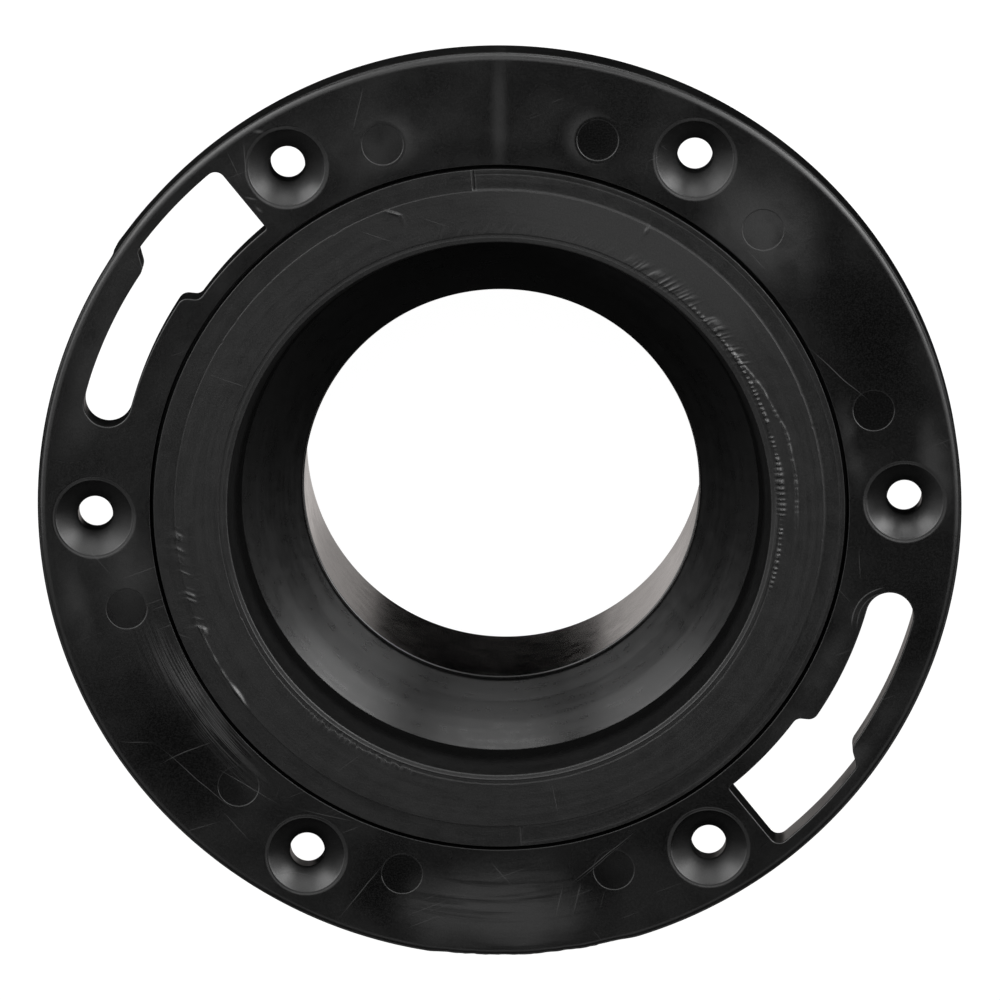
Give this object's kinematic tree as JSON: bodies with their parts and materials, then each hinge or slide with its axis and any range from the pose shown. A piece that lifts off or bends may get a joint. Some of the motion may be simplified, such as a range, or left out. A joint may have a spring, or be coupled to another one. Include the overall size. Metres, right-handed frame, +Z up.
{
  "type": "toilet flange",
  "caption": "Closet flange for a toilet: a hub with a bowl and a straight drain spigot, and a floor ring that swivels round it, with countersunk screw holes and keyhole bolt slots.",
  "frame": {"origin": "centre of the ring's underside, in the plane of the finished floor", "axes": "+Z up out of the drain, +X through the centre of a floor screw hole"},
  "size_m": [0.1778, 0.1778, 0.067],
  "materials": {
    "hub_abs": "satin moulded black ABS with tooling marks",
    "ring_abs": "semi-gloss moulded black ABS with scuffs"
  },
  "bodies": {
    "hub": {"hub_body": "hub_abs"},
    "ring": {"swivel_ring": "ring_abs"}
  },
  "joints": [
    {"name": "ring_swivel", "type": "hinge", "parent": "hub", "child": "ring", "pos_m": [0, 0, 0], "axis": [0, 0, 1], "continuous": true}
  ]
}
